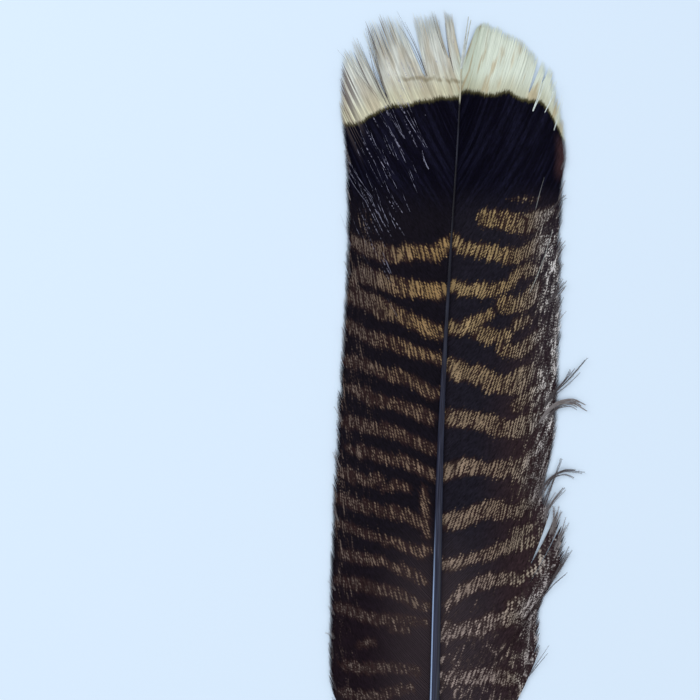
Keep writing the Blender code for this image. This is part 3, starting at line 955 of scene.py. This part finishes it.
def stray_barbs(rng):
    """Short random barbs along the vanes' edges, and thin ones with painted glints on the left of the black
    band.
    """
    barbs = []
    for side, table, highest in ((1, RIGHT_BARBS, 128), (-1, LEFT_BARBS, 136)):
        for y in rng.uniform(table[0][3] + 4, highest, 20):
            out = outline_out(table, y) - 1
            reach, rise = rng.uniform(0.6, 2), rng.uniform(2, 4.5)
            barbs.append((
                side, rng.uniform(0.1, 0.7), rng.uniform(0.07, 0.14), rng.uniform(0.3, 0.8), 2, 0.9,
                (out - reach * 0.6, y - rise * 0.6), (out + reach * 0.4, y + rise * 0.4),
                (out + reach, y + rise)))
    # Thin dark barbs with painted glints, on the left of the black band.
    for _ in range(34):
        out, y, length = rng.uniform(12, 35), rng.uniform(98, 134), rng.uniform(4, 12)
        barbs.append((
            -1, 1.05, rng.uniform(0.04, 0.08), 0, 1, 0.3,
            (out, y), (out + 0.24 * length, y + 0.48 * length), (out + 0.42 * length, y + 0.9 * length)))
    return barbs


def make_loose(material):
    """Frayed barbs along the vane's edges, pale slivers at the tip, and worn dark barbs with painted glints.
    """
    rng = np.random.default_rng(53)
    t = np.linspace(0, 1, 16)
    stems, halves, pales, fringe, fringe_pales = [], [], [], [], []
    for side, pale, half, barbule, together, spread, *points in LOOSE + stray_barbs(rng):
        points = np.array(points, dtype=float)
        marks = np.linspace(0, 1, len(points))
        for _ in range(together):
            height = 0.9 + rng.uniform(0, 0.6) * t + (0.9 if pale > 0.8 else 0)
            stray = spread * rng.uniform(-1, 1, 2)[:, None] * (0.25 + t ** 1.5)
            reach = np.minimum(t * rng.uniform(0.8, 1), 1)
            out, y = (follow(reach, marks, points[:, k]) + stray[k] for k in range(2))
            path = beside_chord(side, np.column_stack([out, y, height]))
            stems.append(path)
            halves.append(half * rng.uniform(0.7, 1.1))
            pales.append(pale)
            if barbule > 0:
                hairs = hairs_along(path, rng, 0.55, (0.5 * barbule, 1.2 * barbule))
                fringe += hairs
                fringe_pales += [pale] * len(hairs)
    return [add_hairs("loose_barbs", stems, halves, material, rng, pale=pales),
            add_hairs("loose_barbules", fringe, 0.045, material, rng, pale=fringe_pales)]


# ---- stage, in metres

FLOOR_HALF = 3
# The camera looks straight down, turned a little, on a square as wide as the photo shows.
CAMERA_X, CAMERA_Y = -0.03514, 0.0596
CAMERA_TURN = math.radians(2.386)
VIEW_WIDTH = 0.245
LIGHTS_AIM = (0, 0.06, 0)
# Lights: name, place, width and power.
LIGHTS = [("window", (-0.9, 0.5, 0.75), 0.7, 5), ("room", (0.6, -0.5, 1.4), 1.2, 4)]


def make_floor():
    """A plain pale floor."""
    mesh = bpy.data.meshes.new("floor")
    corners = [(x * FLOOR_HALF, y * FLOOR_HALF, 0) for x, y in ((-1, -1), (1, -1), (1, 1), (-1, 1))]
    mesh.from_pydata(corners, [], [(0, 1, 2, 3)])
    mesh.materials.append(Tree("paper", specular=0).finish((206.4, 222.6, 239.2), 0.9))
    floor = add_object("floor", mesh)
    floor.location.z = -0.0002


def make_lights():
    """Soft light from all around, a window on the left and a weaker lamp in the room."""
    world = bpy.data.worlds.new("studio")
    world.use_nodes = True
    background = world.node_tree.nodes["Background"]
    background.inputs["Color"].default_value = (0.96, 0.98, 1, 1)
    background.inputs["Strength"].default_value = 0.85
    bpy.context.scene.world = world
    for name, place, size, power in LIGHTS:
        light = bpy.data.lights.new(name, "AREA")
        light.shape = "DISK"
        light.size = size
        light.energy = power
        lamp = add_object(name, light)
        lamp.location = place
        aim = np.array(LIGHTS_AIM) - np.array(place)
        yaw = math.atan2(aim[0], -aim[1])
        pitch = math.atan2(math.hypot(aim[0], aim[1]), -aim[2])
        lamp.rotation_euler = (pitch, 0, yaw + math.pi)


def make_camera():
    """The camera, straight above."""
    data = bpy.data.cameras.new("camera")
    data.sensor_width = 36
    data.lens = 60
    camera = add_object("camera", data)
    camera.location = (CAMERA_X, CAMERA_Y, VIEW_WIDTH * data.lens / data.sensor_width)
    camera.rotation_euler = (0, 0, CAMERA_TURN)
    bpy.context.scene.camera = camera
    bpy.context.scene.view_settings.view_transform = "Standard"


def main():
    """Builds every visible piece and puts it on the feather's one body."""
    make_floor()
    make_lights()
    make_camera()
    barbs = vane_material()
    right = make_vane(
        "right_vane_barbs", 1, RIGHT_BARBS, RIGHT_SPLITS, RIGHT_FRAY, RIGHT_BARS, RIGHT_CREAM, barbs, 11)
    left = make_vane(
        "left_vane_barbs", -1, LEFT_BARBS, LEFT_SPLITS, LEFT_FRAY, LEFT_BARS, LEFT_CREAM, barbs, 23)
    shaft = make_shaft(shaft_material())
    down = down_material()
    loose = make_loose(loose_material())
    right_down = make_down("right_down", 1, RIGHT_DOWN, down, 31)
    left_down = make_down("left_down", -1, LEFT_DOWN, down, 37)
    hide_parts("right_vane")
    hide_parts("left_vane")
    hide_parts("shaft")
    for made, node in ((right_down, "right_down"), (left_down, "left_down")):
        for piece in made:
            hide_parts(node)
            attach(piece, "root")
    for piece, slot in [(shaft, "horn")] + [(piece, "barbs") for piece in (right, left, *loose)]:
        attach(piece, "root")


main()
